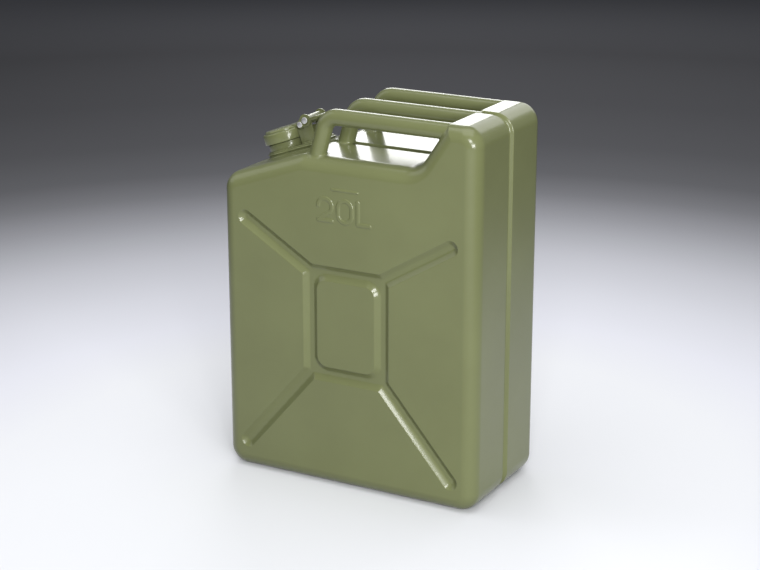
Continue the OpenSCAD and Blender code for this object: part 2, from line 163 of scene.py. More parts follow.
# Mesh steps, and how many rows or points a form gets
STRAIGHT_STEP = 4.4
ARC_STEP = math.radians(5)
CHANNEL_ROWS, SIDE_ROWS, FILLET_ROWS = 9, 13, 13
BEAD_POINTS = 11
TUBE_SIDES = 56
WELD_ROWS, POST_ROWS, BEND_ROWS, BAR_ROWS = 7, 5, 17, 9
PLATE_SIDES = 160
PIN_SIDES = 48
DOME_ROWS = 7
ROD_SIDES, ROD_ROWS = 14, 61
HALVINGS = 40
SLOPE_REACH = 0.05

# The flat face's grid: its cell, how many cells apart its points stand, and where each spacing holds,
# measured inwards from the groove's rim or outwards from the mark's strokes
FACE_CELL = 0.75
PLAIN_CELLS, NEAR_CELLS, CLOSE_CELLS = 12, 4, 2
NEAR_GROOVE, CLOSE_GROOVE, RIM_HALF = -9, -3, 1.1
CLOSE_PAST = 1
NEAR_MARK, MARK_EDGE = 8, 1.6
BORDER_GAP = 1.5
CHUNKS = 16
TRIANGLE_TOLERANCE = 1e-6

# Softened copies of the solids
MERGE_DISTANCE = 2e-7
FLAT_ANGLE, EDGE_ANGLE = math.radians(0.6), math.radians(34)
EDGE_SEGMENTS = 3


def smooth(t):
    """Rises from 0 to 1 over t from 0 to 1, level at both ends."""
    t = np.clip(t, 0, 1)
    return t * t * (3 - 2 * t)


def turned(v, a):
    c, s = math.cos(a), math.sin(a)
    return np.array([v[0] * c - v[1] * s, v[0] * s + v[1] * c])


def corner_list():
    """The side outline's corners, counter-clockwise from the spout side's foot: x, z and radius."""
    foot_x = step_x - (body_h - deck_z) / math.tan(step_slope)
    half = body_w / 2
    return [
        (-half, 0, corner_r), (half, 0, corner_r), (half, body_h, corner_r), (step_x, body_h, step_r),
        (foot_x, deck_z, valley_r), (shoulder_x, deck_z, shoulder_r), (-half, left_z, corner_r),
    ]


CORNERS = corner_list()


def corner_arc(i, inset):
    """Points and outward normals of one rounded corner of the side outline, moved in by inset."""
    count = len(CORNERS)
    before, here, after = (np.array(CORNERS[(i + k) % count][:2], float) for k in (-1, 0, 1))
    u = (here - before) / np.linalg.norm(here - before)
    v = (after - here) / np.linalg.norm(after - here)
    nu, nv = np.array([-u[1], u[0]]), np.array([-v[1], v[0]])
    m = (nu + nv) / (1 + nu @ nv)
    angle = math.atan2(u[0] * v[1] - u[1] * v[0], u @ v)
    s = 1 if angle > 0 else -1
    radius = CORNERS[i][2]
    r = max(radius - inset, least_r) if s > 0 else radius + inset
    centre = here + inset * m + s * r * m
    sides = max(4, math.ceil(abs(angle) / ARC_STEP))
    normals = [-turned(nu, angle * k / sides) for k in range(sides + 1)]
    return [centre + s * r * n for n in normals], normals


def straight_counts():
    """How many steps each straight stretch of the side outline gets."""
    arcs = [corner_arc(i, 0)[0] for i in range(len(CORNERS))]
    ends = [(arcs[i][-1], arcs[(i + 1) % len(arcs)][0]) for i in range(len(arcs))]
    return [max(1, math.ceil(np.linalg.norm(b - a) / STRAIGHT_STEP)) for a, b in ends]


STRAIGHTS = straight_counts()


def outline(inset):
    """The whole side outline, as points and outward normals. Every inset gives the same count."""
    arcs = [corner_arc(i, inset) for i in range(len(CORNERS))]
    points, normals = [], []
    for i, (arc, arc_normals) in enumerate(arcs):
        points += arc
        normals += arc_normals
        start, stop = arc[-1], arcs[(i + 1) % len(arcs)][0][0]
        for k in range(1, STRAIGHTS[i]):
            points.append(start + (stop - start) * k / STRAIGHTS[i])
            normals.append(arc_normals[-1])
    return np.array(points), np.array(normals)


def channel_depth(y):
    """How deep the seam channel is at a distance y from the seam."""
    return channel_d * (1 - smooth((np.abs(y) - channel_half) / channel_side_w))


def edge_drop(y):
    """How far the body falls away near its two faces, where its edges are rounded."""
    past = np.clip(np.abs(y) - side_y, 0, fillet_r * 0.999)
    return fillet_r - np.sqrt(fillet_r ** 2 - past ** 2)


def section_rows():
    """The pressing's section from the seam to the face: inset, depth, and the normal's two parts."""
    rows = [(channel_d, channel_half * t, 1, 0) for t in (0, 0.5, 1)]
    for t in np.linspace(0, 1, CHANNEL_ROWS)[1:]:
        fall = -channel_d * 6 * t * (1 - t)
        length = math.hypot(fall, channel_side_w)
        rows.append((channel_d * (1 - smooth(t)), channel_half + channel_side_w * t,
                     channel_side_w / length, fall / length))
    for t in np.linspace(0, 1, SIDE_ROWS)[1:]:
        rows.append((0, channel_end + t * (side_y - channel_end), 1, 0))
    for a in np.linspace(0, math.pi / 2, FILLET_ROWS)[1:]:
        rows.append((fillet_r * (1 - math.cos(a)), side_y + fillet_r * math.sin(a),
                     math.cos(a), math.sin(a)))
    return rows


def rounded_box(x, z, half, r):
    """Signed distance to a rounded rectangle, negative inside."""
    qx, qz = np.abs(x) - half[0] + r, np.abs(z) - half[1] + r
    return np.hypot(np.maximum(qx, 0), np.maximum(qz, 0)) + np.minimum(np.maximum(qx, qz), 0) - r


def segment_distance(x, z, a, b):
    """Distance to the straight line from a to b."""
    ax, az = a
    dx, dz = b[0] - ax, b[1] - az
    t = np.clip(((x - ax) * dx + (z - az) * dz) / (dx * dx + dz * dz), 0, 1)
    return np.hypot(x - ax - t * dx, z - az - t * dz)


def groove_inside(x, z):
    """Distance inside the groove's outer edge, with soft meetings of the frame and the arms."""
    zp = z - panel_z
    frame_edge = -rounded_box(x, zp, frame_half, frame_r)
    inside = np.minimum(frame_edge, rounded_box(x, zp, panel_half, panel_r))
    root = ((frame_half[0] + panel_half[0]) / 2, (frame_half[1] + panel_half[1]) / 2)
    for start_z, tip in ((panel_z + root[1], upper_tip), (panel_z - root[1], lower_tip)):
        arm = groove_half - segment_distance(np.abs(x), z, (root[0], start_z), tip)
        mix = np.clip(0.5 + (arm - inside) / (2 * groove_blend), 0, 1)
        inside = inside * (1 - mix) + arm * mix + groove_blend * mix * (1 - mix)
    return inside


def ramp(t, rounding):
    """Rises from 0 to 1 over t from 0 to 1: straight in the middle and rounded at both ends."""
    t = np.clip(t, 0, 1)
    slope = 1 / (1 - rounding)
    low = slope * t * t / (2 * rounding)
    high = 1 - slope * (1 - t) ** 2 / (2 * rounding)
    middle = slope * (t - rounding / 2)
    return np.where(t < rounding, low, np.where(t > 1 - rounding, high, middle))


def pressed(t, crease, curve):
    """Rises from 0 to 1 over t from 0 to 1: steepest just past a tight crease, then ever flatter."""
    t = np.clip(t, 0, 1)
    steep = 1 / (crease / 2 + (1 - crease) / curve)
    foot = 1 - steep * (1 - crease) / curve * ((1 - t) / (1 - crease)) ** curve
    return np.where(t < crease, steep * t * t / (2 * crease), foot)


def mark_distance(x, z):
    """Distance to the middle lines of the plain capacity mark, two, nought and L, and its bar."""
    s = mark_stroke / 2
    r = mark_w / 2 - s
    left = -(3 * mark_w + 2 * mark_gap) / 2
    low, high = mark_z + s, mark_z + mark_h - s
    two_x = left + mark_w / 2
    zero_x = two_x + mark_w + mark_gap
    ell_x = left + 2 * (mark_w + mark_gap) + s
    top = high - r
    arc = np.abs(np.hypot(x - two_x, z - top) - r)
    in_arc = (z > top) | ((x > two_x) & (z - top > -(x - two_x)))
    d = np.where(in_arc, arc, 1e3)
    bend = r * math.sqrt(0.5)
    d = np.minimum(d, np.hypot(x - two_x + r, z - top))
    d = np.minimum(d, segment_distance(x, z, (two_x + bend, top - bend), (two_x - r, low)))
    d = np.minimum(d, segment_distance(x, z, (two_x - r, low), (two_x + r, low)))
    past_straight = np.maximum(np.abs(z - (low + high) / 2) - (high - low) / 2 + r, 0)
    d = np.minimum(d, np.abs(np.hypot(x - zero_x, past_straight) - r))
    d = np.minimum(d, segment_distance(x, z, (ell_x, low), (ell_x, high)))
    foot_end = (ell_x + mark_w * 7 / 8 - mark_stroke, low)
    d = np.minimum(d, segment_distance(x, z, (ell_x, low), foot_end))
    bar_middle = mark_z + mark_h + bar_gap + bar_h / 2
    bar = segment_distance(x, z, (-bar_w / 2, bar_middle), (bar_w / 2, bar_middle))
    return np.minimum(d, bar + (mark_stroke - bar_h) / 2)


def face_depth(x, z, marked):
    """How far the face is pressed in at a point, less than 0 where the mark is raised."""
    t = (groove_inside(x, z) + groove_soft) / (groove_side_w + 2 * groove_soft)
    depth = groove_d * pressed(t, groove_crease, groove_curve)
    if marked:
        edge = (mark_stroke / 2 - mark_distance(x, z)) / mark_soft + 0.5
        depth = depth - mark_rise * ramp(edge, mark_round)
    return depth


def inside_outline(points, border):
    """Which points lie within the border, and how far each is from it."""
    a, b = border, np.roll(border, -1, axis=0)
    x, z = points[:, :1], points[:, 1:]
    crosses = (a[:, 1] > z) != (b[:, 1] > z)
    with np.errstate(divide="ignore", invalid="ignore"):
        at = a[:, 0] + (z - a[:, 1]) * (b[:, 0] - a[:, 0]) / (b[:, 1] - a[:, 1])
    within = (crosses & (x < at)).sum(1) % 2 == 1
    d = b - a
    t = np.clip(((x - a[:, 0]) * d[:, 0] + (z - a[:, 1]) * d[:, 1]) / (d ** 2).sum(1), 0, 1)
    gap = np.hypot(x - a[:, 0] - t * d[:, 0], z - a[:, 1] - t * d[:, 1]).min(1)
    return within, gap


def face_points(border, marked):
    """Grid points of the flat face, close together only where it is pressed or marked."""
    low, high = border.min(0), border.max(0)
    ix = np.arange(math.ceil(low[0] / FACE_CELL), math.floor(high[0] / FACE_CELL) + 1)
    iz = np.arange(math.ceil(low[1] / FACE_CELL), math.floor(high[1] / FACE_CELL) + 1)
    gx, gz = (g.ravel() for g in np.meshgrid(ix, iz))
    x, z = gx * FACE_CELL, gz * FACE_CELL

    def every(cells):
        return (gx % cells == 0) & (gz % cells == 0)

    inside = groove_inside(x, z)
    keep = every(PLAIN_CELLS) | (every(NEAR_CELLS) & (inside > NEAR_GROOVE))
    keep |= every(CLOSE_CELLS) & (inside > CLOSE_GROOVE) & (inside < groove_half + CLOSE_PAST)
    keep |= np.abs(inside) < RIM_HALF
    if marked:
        near = mark_distance(x, z)
        keep |= (near < mark_stroke / 2 + MARK_EDGE) | (every(CLOSE_CELLS) & (near < NEAR_MARK))
    points = np.stack([x[keep], z[keep]], 1)
    chunks = [inside_outline(part, border) for part in np.array_split(points, CHUNKS)]
    within = np.concatenate([c[0] for c in chunks])
    return points[within & (np.concatenate([c[1] for c in chunks]) > BORDER_GAP)]


def add_mesh(name, vertices, faces, loop_normals=None):
    """A smooth mesh object from points in millimetres."""
    mesh = bpy.data.meshes.new(name)
    mesh.from_pydata((np.asarray(vertices, float) * MM).tolist(), [], faces)
    mesh.polygons.foreach_set("use_smooth", [True] * len(mesh.polygons))
    if loop_normals is not None:
        mesh.normals_split_custom_set(loop_normals)
    mesh.update()
    obj = bpy.data.objects.new(name, mesh)
    bpy.context.scene.collection.objects.link(obj)
    return obj


def dress(obj, material, body, slot, *nodes):
    """Gives a piece its material and its body, and hides the nodes it stands for. The slot is not used.
    """
    obj.data.materials.clear()
    obj.data.materials.append(material)
    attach(obj, body)
    if nodes:
        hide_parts(*nodes)


def to_slope(t, y, n):
    """A point of the shoulder's own slope in the part's frame, in millimetres."""
    c, s = math.cos(shoulder_fall), math.sin(shoulder_fall)
    return np.stack(np.broadcast_arrays(spout_x + t * c - n * s, y, spout_z + t * s + n * c), -1)


def from_slope(p):
    """The same the other way round: t, y and n of points in the part's frame."""
    c, s = math.cos(shoulder_fall), math.sin(shoulder_fall)
    x, z = p[:, 0] - spout_x, p[:, 2] - spout_z
    return x * c + z * s, p[:, 1], -x * s + z * c


def outward(faces, points, normals):
    """The faces, each turned so that it looks the way its corners' normals do."""
    result = []
    for face in faces:
        a, b, c = points[face[0]], points[face[1]], points[face[2]]
        across = np.cross(b - a, c - a)
        if across @ normals[list(face)].sum(0) < 0:
            face = tuple(reversed(face))
        result.append(tuple(face))
    return result


def shell(name, side, marked):
    """One pressed half as a closed sheet. side is -1 for the near half and 1 for the far one.

    Rings of the section run from the seam to the face's edge, and the face is filled with triangles
    that are then pressed in.
    """
    points, normals, faces = [], [], []
    rows = section_rows()
    for inset, depth, across, along in rows:
        ring, ring_normals = outline(inset)
        points += [(x, side * depth, z) for x, z in ring]
        normals += [(across * nx, side * along, across * nz) for nx, nz in ring_normals]
    count = len(ring)
    for j in range(len(rows) - 1):
        for i in range(count):
            k = (i + 1) % count
            faces.append((j * count + i, j * count + k, (j + 1) * count + k, (j + 1) * count + i))
    filled = face_points(ring, marked)
    flat = [Vector(p) for p in np.concatenate([ring, filled])]
    border = [(i, (i + 1) % count) for i in range(count)]
    placed, _, triangles, originals, _, _ = delaunay_2d_cdt(flat, border, [], 1, TRIANGLE_TOLERANCE)
    first = (len(rows) - 1) * count
    index = []
    for place, origin in zip(placed, originals):
        if origin and origin[0] < count:
            index.append(first + origin[0])
            continue
        index.append(len(points))
        points.append((place.x, 0, place.y))
        normals.append((0, side, 0))
    points, normals = np.array(points), np.array(normals, float)
    face = slice(len(rows) * count, None)
    x, z = points[face, 0], points[face, 2]
    points[face, 1] = side * (body_d / 2 - face_depth(x, z, marked))
    rise_x = face_depth(x + SLOPE_REACH, z, marked) - face_depth(x - SLOPE_REACH, z, marked)
    rise_z = face_depth(x, z + SLOPE_REACH, marked) - face_depth(x, z - SLOPE_REACH, marked)
    normals[face, 0] = rise_x / (2 * SLOPE_REACH)
    normals[face, 2] = rise_z / (2 * SLOPE_REACH)
    normals /= np.linalg.norm(normals, axis=1)[:, None]
    faces += [tuple(index[i] for i in t) for t in triangles]
    t, y, n = from_slope(points)
    gone = (np.hypot(t, y) < hole_r) & (np.abs(n) < channel_d + 1)
    faces = [f for f in faces if not all(gone[i] for i in f)]
    return sheet(name, points, normals, faces)


def sheet(name, points, normals, faces):
    """A closed sheet: the outer skin, the inner one, and a rim along each open edge."""
    faces = outward(faces, points, normals)
    total = len(points)
    points = np.concatenate([points, points - wall * normals])
    inner = [tuple(i + total for i in reversed(f)) for f in faces]
    open_edges = {}
    for face in faces:
        for a, b in zip(face, face[1:] + face[:1]):
            if open_edges.pop((b, a), None) is None:
                open_edges[(a, b)] = True
    rims = [(b, a, a + total, b + total) for a, b in open_edges]
    loops = [tuple(normals[i]) for f in faces for i in f]
    loops += [tuple(-normals[i - total]) for f in inner for i in f]
    for rim in rims:
        a, b, c = (points[i] for i in rim[:3])
        across = np.cross(b - a, c - a)
        loops += [tuple(across / (np.linalg.norm(across) or 1))] * 4
    used = sorted({i for f in faces + inner for i in f})
    renumber = {old: new for new, old in enumerate(used)}
    remade = [tuple(renumber[i] for i in f) for f in faces + inner + rims]
    return add_mesh(name, points[used], remade, loops)


def grid_faces(rows, count, closed_rows=False):
    """Quads between rows of points that each run round in a ring."""
    last = rows if closed_rows else rows - 1
    return [(j * count + i, j * count + (i + 1) % count,
             (j + 1) % rows * count + (i + 1) % count, (j + 1) % rows * count + i)
            for j in range(last) for i in range(count)]


def fix_normals(obj):
    """Turns a closed mesh's faces outward."""
    work = bmesh.new()
    work.from_mesh(obj.data)
    bmesh.ops.recalc_face_normals(work, faces=work.faces)
    work.to_mesh(obj.data)
    work.free()
    return obj


def sweep(name, rows):
    """A closed piece from rings of points, with a flat cap at each end."""
    count = len(rows[0])
    faces = grid_faces(len(rows), count)
    faces.append(tuple(range(count)))
    faces.append(tuple(range((len(rows) - 1) * count, len(rows) * count)))
    return fix_normals(add_mesh(name, np.concatenate(rows), faces))


def bead_piece():
    """The weld bead on the channel's floor, open only under the base plate."""
    angles = np.linspace(0, math.pi, BEAD_POINTS)
    ring, ring_normals = outline(channel_d)
    t, _, n = from_slope(np.stack([ring[:, 0], 0 * ring[:, 0], ring[:, 1]], 1))
    free = ~((np.abs(t) < skirt_r + bead_gap) & (np.abs(n) < 2 * channel_d))
    start = [i for i in range(len(ring)) if free[i] and not free[i - 1]][0]
    order = [i % len(ring) for i in range(start, start + int(free.sum()))]
    rows = []
    for i in order:
        p, out = ring[i], ring_normals[i]
        arc = [(bead_h * math.sin(a), bead_half * math.cos(a)) for a in angles]
        arc += [(-bead_sink, -bead_half), (-bead_sink, bead_half)]
        rows.append(np.array([(p[0] + h * out[0], w, p[1] + h * out[1]) for h, w in arc]))
    return sweep("weld_seam", rows)


def meet(start, step, height):
    """How far along step each point of start has to go to reach the surface where height is 0."""
    low, high = np.zeros(len(start)), np.full(len(start), float(body_w))
    for _ in range(HALVINGS):
        middle = (low + high) / 2
        above = height(start + middle[:, None] * step) > 0
        low, high = np.where(above, middle, low), np.where(above, high, middle)
    return (low + high) / 2


def weld_rows(root, along, radial, normal, height, size):
    """Rows of a soft weld from the tube's side down to the body, ending a little below its skin."""
    top = root + along * size[:, None]
    foot = root + radial * size[:, None]
    foot = foot - height(foot)[:, None] * normal
    rows = []
    for t in np.linspace(0, 1, WELD_ROWS):
        rows.append((1 - t) ** 2 * top + 2 * t * (1 - t) * root + t * t * foot)
    rows.append(foot - weld_sink * normal)
    return rows


def handle_piece(name, y):
    """One bent tube with its post, and a soft weld where each end meets the body."""
    angles = np.linspace(0, 2 * math.pi, TUBE_SIDES, endpoint=False)
    bar_x = post_x + (bar_z - deck_z) * math.tan(post_lean)
    tangent = bend_r * math.tan((math.pi / 2 - post_lean) / 2)
    centre = np.array([bar_x + tangent, y, bar_z - bend_r])

    def radial_at(lean):
        first = np.array([math.cos(lean), 0, -math.sin(lean)])
        return np.cos(angles)[:, None] * first + np.sin(angles)[:, None] * np.array([0, 1, 0]), first

    def ring_at(lean):
        radial, first = radial_at(lean)
        return centre - bend_r * first + tube_r * radial

    def deck_height(p):
        return p[:, 2] - deck_z + edge_drop(p[:, 1]) + channel_depth(p[:, 1])

    wall_normal = np.array([-math.sin(step_slope), 0, math.cos(step_slope)])

    def step_height(p):
        from_edge = p - np.array([step_x, 0, body_h])
        return from_edge @ wall_normal + edge_drop(p[:, 1]) + channel_depth(p[:, 1])

    down = -np.array([math.sin(post_lean), 0, math.cos(post_lean)])
    low_ring = ring_at(post_lean)
    root = low_ring + meet(low_ring, down, deck_height)[:, None] * down
    weld = weld_rows(root, -down, radial_at(post_lean)[0], np.array([0, 0, 1]), deck_height,
                     np.full(TUBE_SIDES, weld_h))
    rows = weld[::-1]
    for t in np.linspace(0, 1, POST_ROWS)[1:-1]:
        rows.append(weld[0] * (1 - t) + low_ring * t)
    rows += [ring_at(lean) for lean in np.linspace(post_lean, math.pi / 2, BEND_ROWS)]
    right = np.array([1.0, 0, 0])
    root = rows[-1] + meet(rows[-1], right, step_height)[:, None] * right
    size = weld_h * smooth((body_h - weld_top_gap - root[:, 2]) / weld_fade) + weld_least
    weld = weld_rows(root, -right, radial_at(math.pi / 2)[0], wall_normal, step_height, size)
    last = rows[-1]
    for t in np.linspace(0, 1, BAR_ROWS)[1:-1]:
        rows.append(last * (1 - t) + weld[0] * t)
    return sweep(name, rows + weld)


def plate_outline(grow):
    """The base plate's outline: a round end about the spout and a straight end, as t and y."""
    r, half, reach = base_r + grow, base_half + grow, base_reach + grow
    corner = base_corner + max(grow, 0)
    angles = np.linspace(0, 2 * math.pi, PLATE_SIDES, endpoint=False)
    rays = np.stack([np.cos(angles), np.sin(angles)], 1)
    low, high = np.zeros(PLATE_SIDES), np.full(PLATE_SIDES, 90.0)
    for _ in range(HALVINGS):
        middle = (low + high) / 2
        p = rays * middle[:, None]
        round_end = np.hypot(p[:, 0], p[:, 1]) - r
        straight = rounded_box(p[:, 0] - reach / 2, p[:, 1], (reach / 2, half), corner)
        within = np.minimum(round_end, straight) < 0
        low, high = np.where(within, middle, low), np.where(within, high, middle)
    return rays * low[:, None]


def plate_piece():
    """The base plate, dressed down onto the shoulder and into the seam channel.

    Its section runs from the flared foot, over a round bulge, to the top: the outline's growth, and n.
    """
    section = [(1.9, -base_sink), (1.6, 0.0), (0.7, 0.5), (0.2, 1.2), (0.0, 2.2), (0.1, 3.1), (0.7, 3.4),
               (1.0, 3.8), (1.0, 4.2), (0.7, 4.6), (-0.3, 4.8), (-0.8, 5.1), (-0.9, 5.6), (-0.9, 6.6),
               (-1.2, base_t)]
    rows = []
    for grow, n in section:
        edge = plate_outline(grow)
        sunk = channel_depth(edge[:, 1]) * (1 - smooth(n / base_t)) if n <= 0 else 0
        rows.append(to_slope(edge[:, 0], edge[:, 1], n - sunk))
    angles = np.linspace(0, 2 * math.pi, PLATE_SIDES, endpoint=False)
    for n in (base_t, -base_sink):
        rows.append(to_slope(skirt_r * np.cos(angles), skirt_r * np.sin(angles), n))
    faces = grid_faces(len(rows), PLATE_SIDES, True)
    return fix_normals(add_mesh("base_plate_pressed", np.concatenate(rows), faces))


def pin_piece(name, t, n, r, head_r):
    """A turned pin across the closure, with a low domed head at each end."""
    chamfer, edge, dome_r, flat_r = 0.25, 0.3, 0.6, 0.3
    dome_top = pin_reach + head_t - 0.15
    dome = [(r, pin_reach), (head_r - chamfer, pin_reach), (head_r, pin_reach + edge)]
    for a in np.linspace(0, math.pi / 2, DOME_ROWS):
        dome.append((head_r - dome_r * (1 - math.cos(a)), dome_top - dome_r * (1 - math.sin(a))))
    dome.append((flat_r, pin_reach + head_t))
    profile = [(pr, -py) for pr, py in reversed(dome)] + dome
    angles = np.linspace(0, 2 * math.pi, PIN_SIDES, endpoint=False)
    c, s = np.cos(angles), np.sin(angles)
    return sweep(name, [to_slope(t + pr * c, np.full(PIN_SIDES, py), n + pr * s) for pr, py in profile])


def foot_weld(name, side):
    """The short weld along a bracket cheek's foot, with the ripples of the rod."""
    rows = []
    angles = np.linspace(0, 2 * math.pi, ROD_SIDES, endpoint=False)
    margin, sink, lift = 0.5, 0.2, 0.1
    length = cheek_foot - 2 * margin
    for share in np.linspace(0, 1, ROD_ROWS):
        ripple = 1 + rod_ripple * math.sin(share * length * 2 * math.pi / rod_pitch)
        r = rod_r * ripple * math.sqrt(max(0.02, 1 - (2 * share - 1) ** 8))
        t = np.full(ROD_SIDES, cheek_left + margin + share * length)
        y = side * (cheek_out - sink) + r * np.cos(angles)
        rows.append(to_slope(t, y, base_t + lift + r * np.sin(angles)))
    return sweep(name, rows)


def soften(node, width):
    """A copy of a node whose hard edges are rounded, as folded and turned metal is."""
    source = frame["nodes"][node]
    mesh = source.data.copy()
    mesh.name = node + "_soft"
    work = bmesh.new()
    work.from_mesh(mesh)
    bmesh.ops.remove_doubles(work, verts=work.verts, dist=MERGE_DISTANCE)
    bmesh.ops.dissolve_limit(work, angle_limit=FLAT_ANGLE, verts=work.verts, edges=work.edges)
    work.to_mesh(mesh)
    work.free()
    mesh.polygons.foreach_set("use_smooth", [True] * len(mesh.polygons))
    obj = bpy.data.objects.new(node + "_soft", mesh)
    bpy.context.scene.collection.objects.link(obj)
    bevel = obj.modifiers.new("edge", "BEVEL")
    bevel.width = width * MM
    bevel.segments = EDGE_SEGMENTS
    bevel.limit_method = "ANGLE"
    bevel.angle_limit = EDGE_ANGLE
    bevel.harden_normals = True
    bevel.use_clamp_overlap = True
    return obj


# Materials


def new_material(name):
    """A material with one Principled shader, and the shader."""
    material = bpy.data.materials.new(name)
    material.use_nodes = True
    nodes = material.node_tree.nodes
    nodes.clear()
    shader = nodes.new("ShaderNodeBsdfPrincipled")
    output = nodes.new("ShaderNodeOutputMaterial")
    material.node_tree.links.new(shader.outputs["BSDF"], output.inputs["Surface"])
    return material, shader


def add_noise(material, scale, detail, roughness=0.5, stretch=None):
    """Noise in the piece's own coordinates, from 0 to 1."""
    nodes, links = material.node_tree.nodes, material.node_tree.links
    place = nodes.new("ShaderNodeTexCoord").outputs["Object"]
    if stretch:
        mapping = nodes.new("ShaderNodeMapping")
        mapping.inputs["Scale"].default_value = stretch
        links.new(place, mapping.inputs["Vector"])
        place = mapping.outputs["Vector"]
    noise = nodes.new("ShaderNodeTexNoise")
    noise.inputs["Scale"].default_value = scale
    noise.inputs["Detail"].default_value = detail
    noise.inputs["Roughness"].default_value = roughness
    links.new(place, noise.inputs["Vector"])
    return noise.outputs["Fac"]


def remap(material, source, given, wanted):
    """The source, stretched from the given range to the wanted one and held within it."""
    nodes, links = material.node_tree.nodes, material.node_tree.links
    ranged = nodes.new("ShaderNodeMapRange")
    for socket, value in zip(("From Min", "From Max", "To Min", "To Max"), (*given, *wanted)):
        ranged.inputs[socket].default_value = value
    links.new(source, ranged.inputs["Value"])
    return ranged.outputs["Result"]


def mix_colours(material, factor, first, second):
    """The first colour at a factor of 0 and the second at 1. Each is a colour or a socket."""
    nodes, links = material.node_tree.nodes, material.node_tree.links
    mix = nodes.new("ShaderNodeMix")
    mix.data_type = "RGBA"
    links.new(factor, mix.inputs["Factor"])
    for socket, value in (("A", first), ("B", second)):
        target = [s for s in mix.inputs if s.name == socket and s.type == "RGBA"][0]
        if isinstance(value, tuple):
            target.default_value = (*value, 1)
        else:
            links.new(value, target)
    return [s for s in mix.outputs if s.type == "RGBA"][0]


def add_bump(material, shader, source, distance):
    """Lets the source raise the surface by the distance, in metres."""
    nodes, links = material.node_tree.nodes, material.node_tree.links
    bump = nodes.new("ShaderNodeBump")
    bump.inputs["Distance"].default_value = distance
    bump.inputs["Strength"].default_value = 1.0
    links.new(source, bump.inputs["Height"])
    links.new(bump.outputs["Normal"], shader.inputs["Normal"])


PAINT = (0.156, 0.173, 0.074)
PAINT_DEEP = (0.143, 0.158, 0.067)
PAINT_WORN = (0.27, 0.285, 0.165)
PIN_STEEL = (0.92, 0.92, 0.90)
ZINC_STEEL = (0.62, 0.62, 0.59)
RUBBER_DARK = (0.012, 0.012, 0.012)
RUBBER_PALE = (0.028, 0.027, 0.026)


def paint_material():
    """Satin olive paint: faint clouds, orange peel and lightly rubbed edges."""
    material, shader = new_material("satin_olive_paint")
    nodes, links = material.node_tree.nodes, material.node_tree.links
    clouds = remap(material, add_noise(material, scale=9, detail=4), (0.35, 0.65), (0, 1))
    colour = mix_colours(material, clouds, PAINT_DEEP, PAINT)
    pointiness = nodes.new("ShaderNodeNewGeometry").outputs["Pointiness"]
    edge = remap(material, pointiness, (0.52, 0.6), (0, 0.35))
    rub = nodes.new("ShaderNodeMath")
    rub.operation = "MULTIPLY"
    links.new(edge, rub.inputs[0])
    patches = add_noise(material, scale=60, detail=6, roughness=0.7)
    links.new(remap(material, patches, (0.4, 0.62), (0.2, 1)), rub.inputs[1])
    links.new(mix_colours(material, rub.outputs[0], colour, PAINT_WORN), shader.inputs["Base Color"])
    sheen = add_noise(material, scale=35, detail=3)
    links.new(remap(material, sheen, (0.3, 0.7), (0.34, 0.40)), shader.inputs["Roughness"])
    shader.inputs["Specular IOR Level"].default_value = 0.12
    shader.inputs["Coat Weight"].default_value = 0.62
    shader.inputs["Coat Roughness"].default_value = 0.16
    add_bump(material, shader, add_noise(material, scale=480, detail=1), distance=0.00001)
    return material


def steel_material(name, colour, roughness, grain):
    """Bare steel with fine turning lines and slightly darker clouds."""
    material, shader = new_material(name)
    links = material.node_tree.links
    clouds = remap(material, add_noise(material, scale=90, detail=4), (0.35, 0.65), (0, 1))
    darker = tuple(c * 0.86 for c in colour)
    links.new(mix_colours(material, clouds, darker, colour), shader.inputs["Base Color"])
    shader.inputs["Metallic"].default_value = 1.0
    lines = add_noise(material, scale=grain, detail=2, roughness=0.6, stretch=(1, 0.12, 1))
    sheen = remap(material, lines, (0.3, 0.7), (roughness * 0.85, roughness * 1.2))
    links.new(sheen, shader.inputs["Roughness"])
    add_bump(material, shader, lines, distance=0.00001)
    return material


def rubber_material():
    """Matt black rubber with a faint mottle."""
    material, shader = new_material("black_seal_rubber")
    links = material.node_tree.links
    mottle = remap(material, add_noise(material, scale=140, detail=5), (0.3, 0.7), (0, 1))
    links.new(mix_colours(material, mottle, RUBBER_DARK, RUBBER_PALE), shader.inputs["Base Color"])
    links.new(remap(material, mottle, (0, 1), (0.62, 0.8)), shader.inputs["Roughness"])
    add_bump(material, shader, add_noise(material, scale=900, detail=2), distance=0.00002)
    return material


paint = paint_material()
bright = steel_material("polished_pin_steel", PIN_STEEL, roughness=0.36, grain=700)
zinc = steel_material("zinc_plated_steel", ZINC_STEEL, roughness=0.34, grain=500)
rubber = rubber_material()

LOOKS = {"green_paint": paint, "bright_pin": bright, "zinc_steel": zinc, "seal_rubber": rubber}
for part in frame["record"]["subparts"]:
    data = frame["nodes"][part["node"]].data
    data.materials.clear()
    data.materials.append(LOOKS[part["material_slot"]])

# Pieces

dress(shell("front_pressing", -1, True), paint, "can", "green_paint", "front_shell")
dress(shell("rear_pressing", 1, False), paint, "can", "green_paint", "rear_shell")
dress(bead_piece(), paint, "can", "green_paint", "seam_bead")
for node, y in (("handle_front", -handle_pitch), ("handle_middle", 0), ("handle_rear", handle_pitch)):
    dress(handle_piece(node + "_tube", y), paint, "can", "green_paint", node)
dress(plate_piece(), paint, "can", "green_paint", "base_plate")
dress(foot_weld("bracket_weld_near", -1), paint, "can", "green_paint")
dress(foot_weld("bracket_weld_far", 1), paint, "can", "green_paint")
main_pin = pin_piece("main_pin_turned", pin_off, pin_h, r=3, head_r=4.1)
dress(main_pin, bright, "can", "bright_pin", "main_pin")
lid_pin = pin_piece("lid_pin_turned", link_off, link_h, r=2.2, head_r=3.7)
dress(lid_pin, bright, "lever", "bright_pin", "lid_pin")
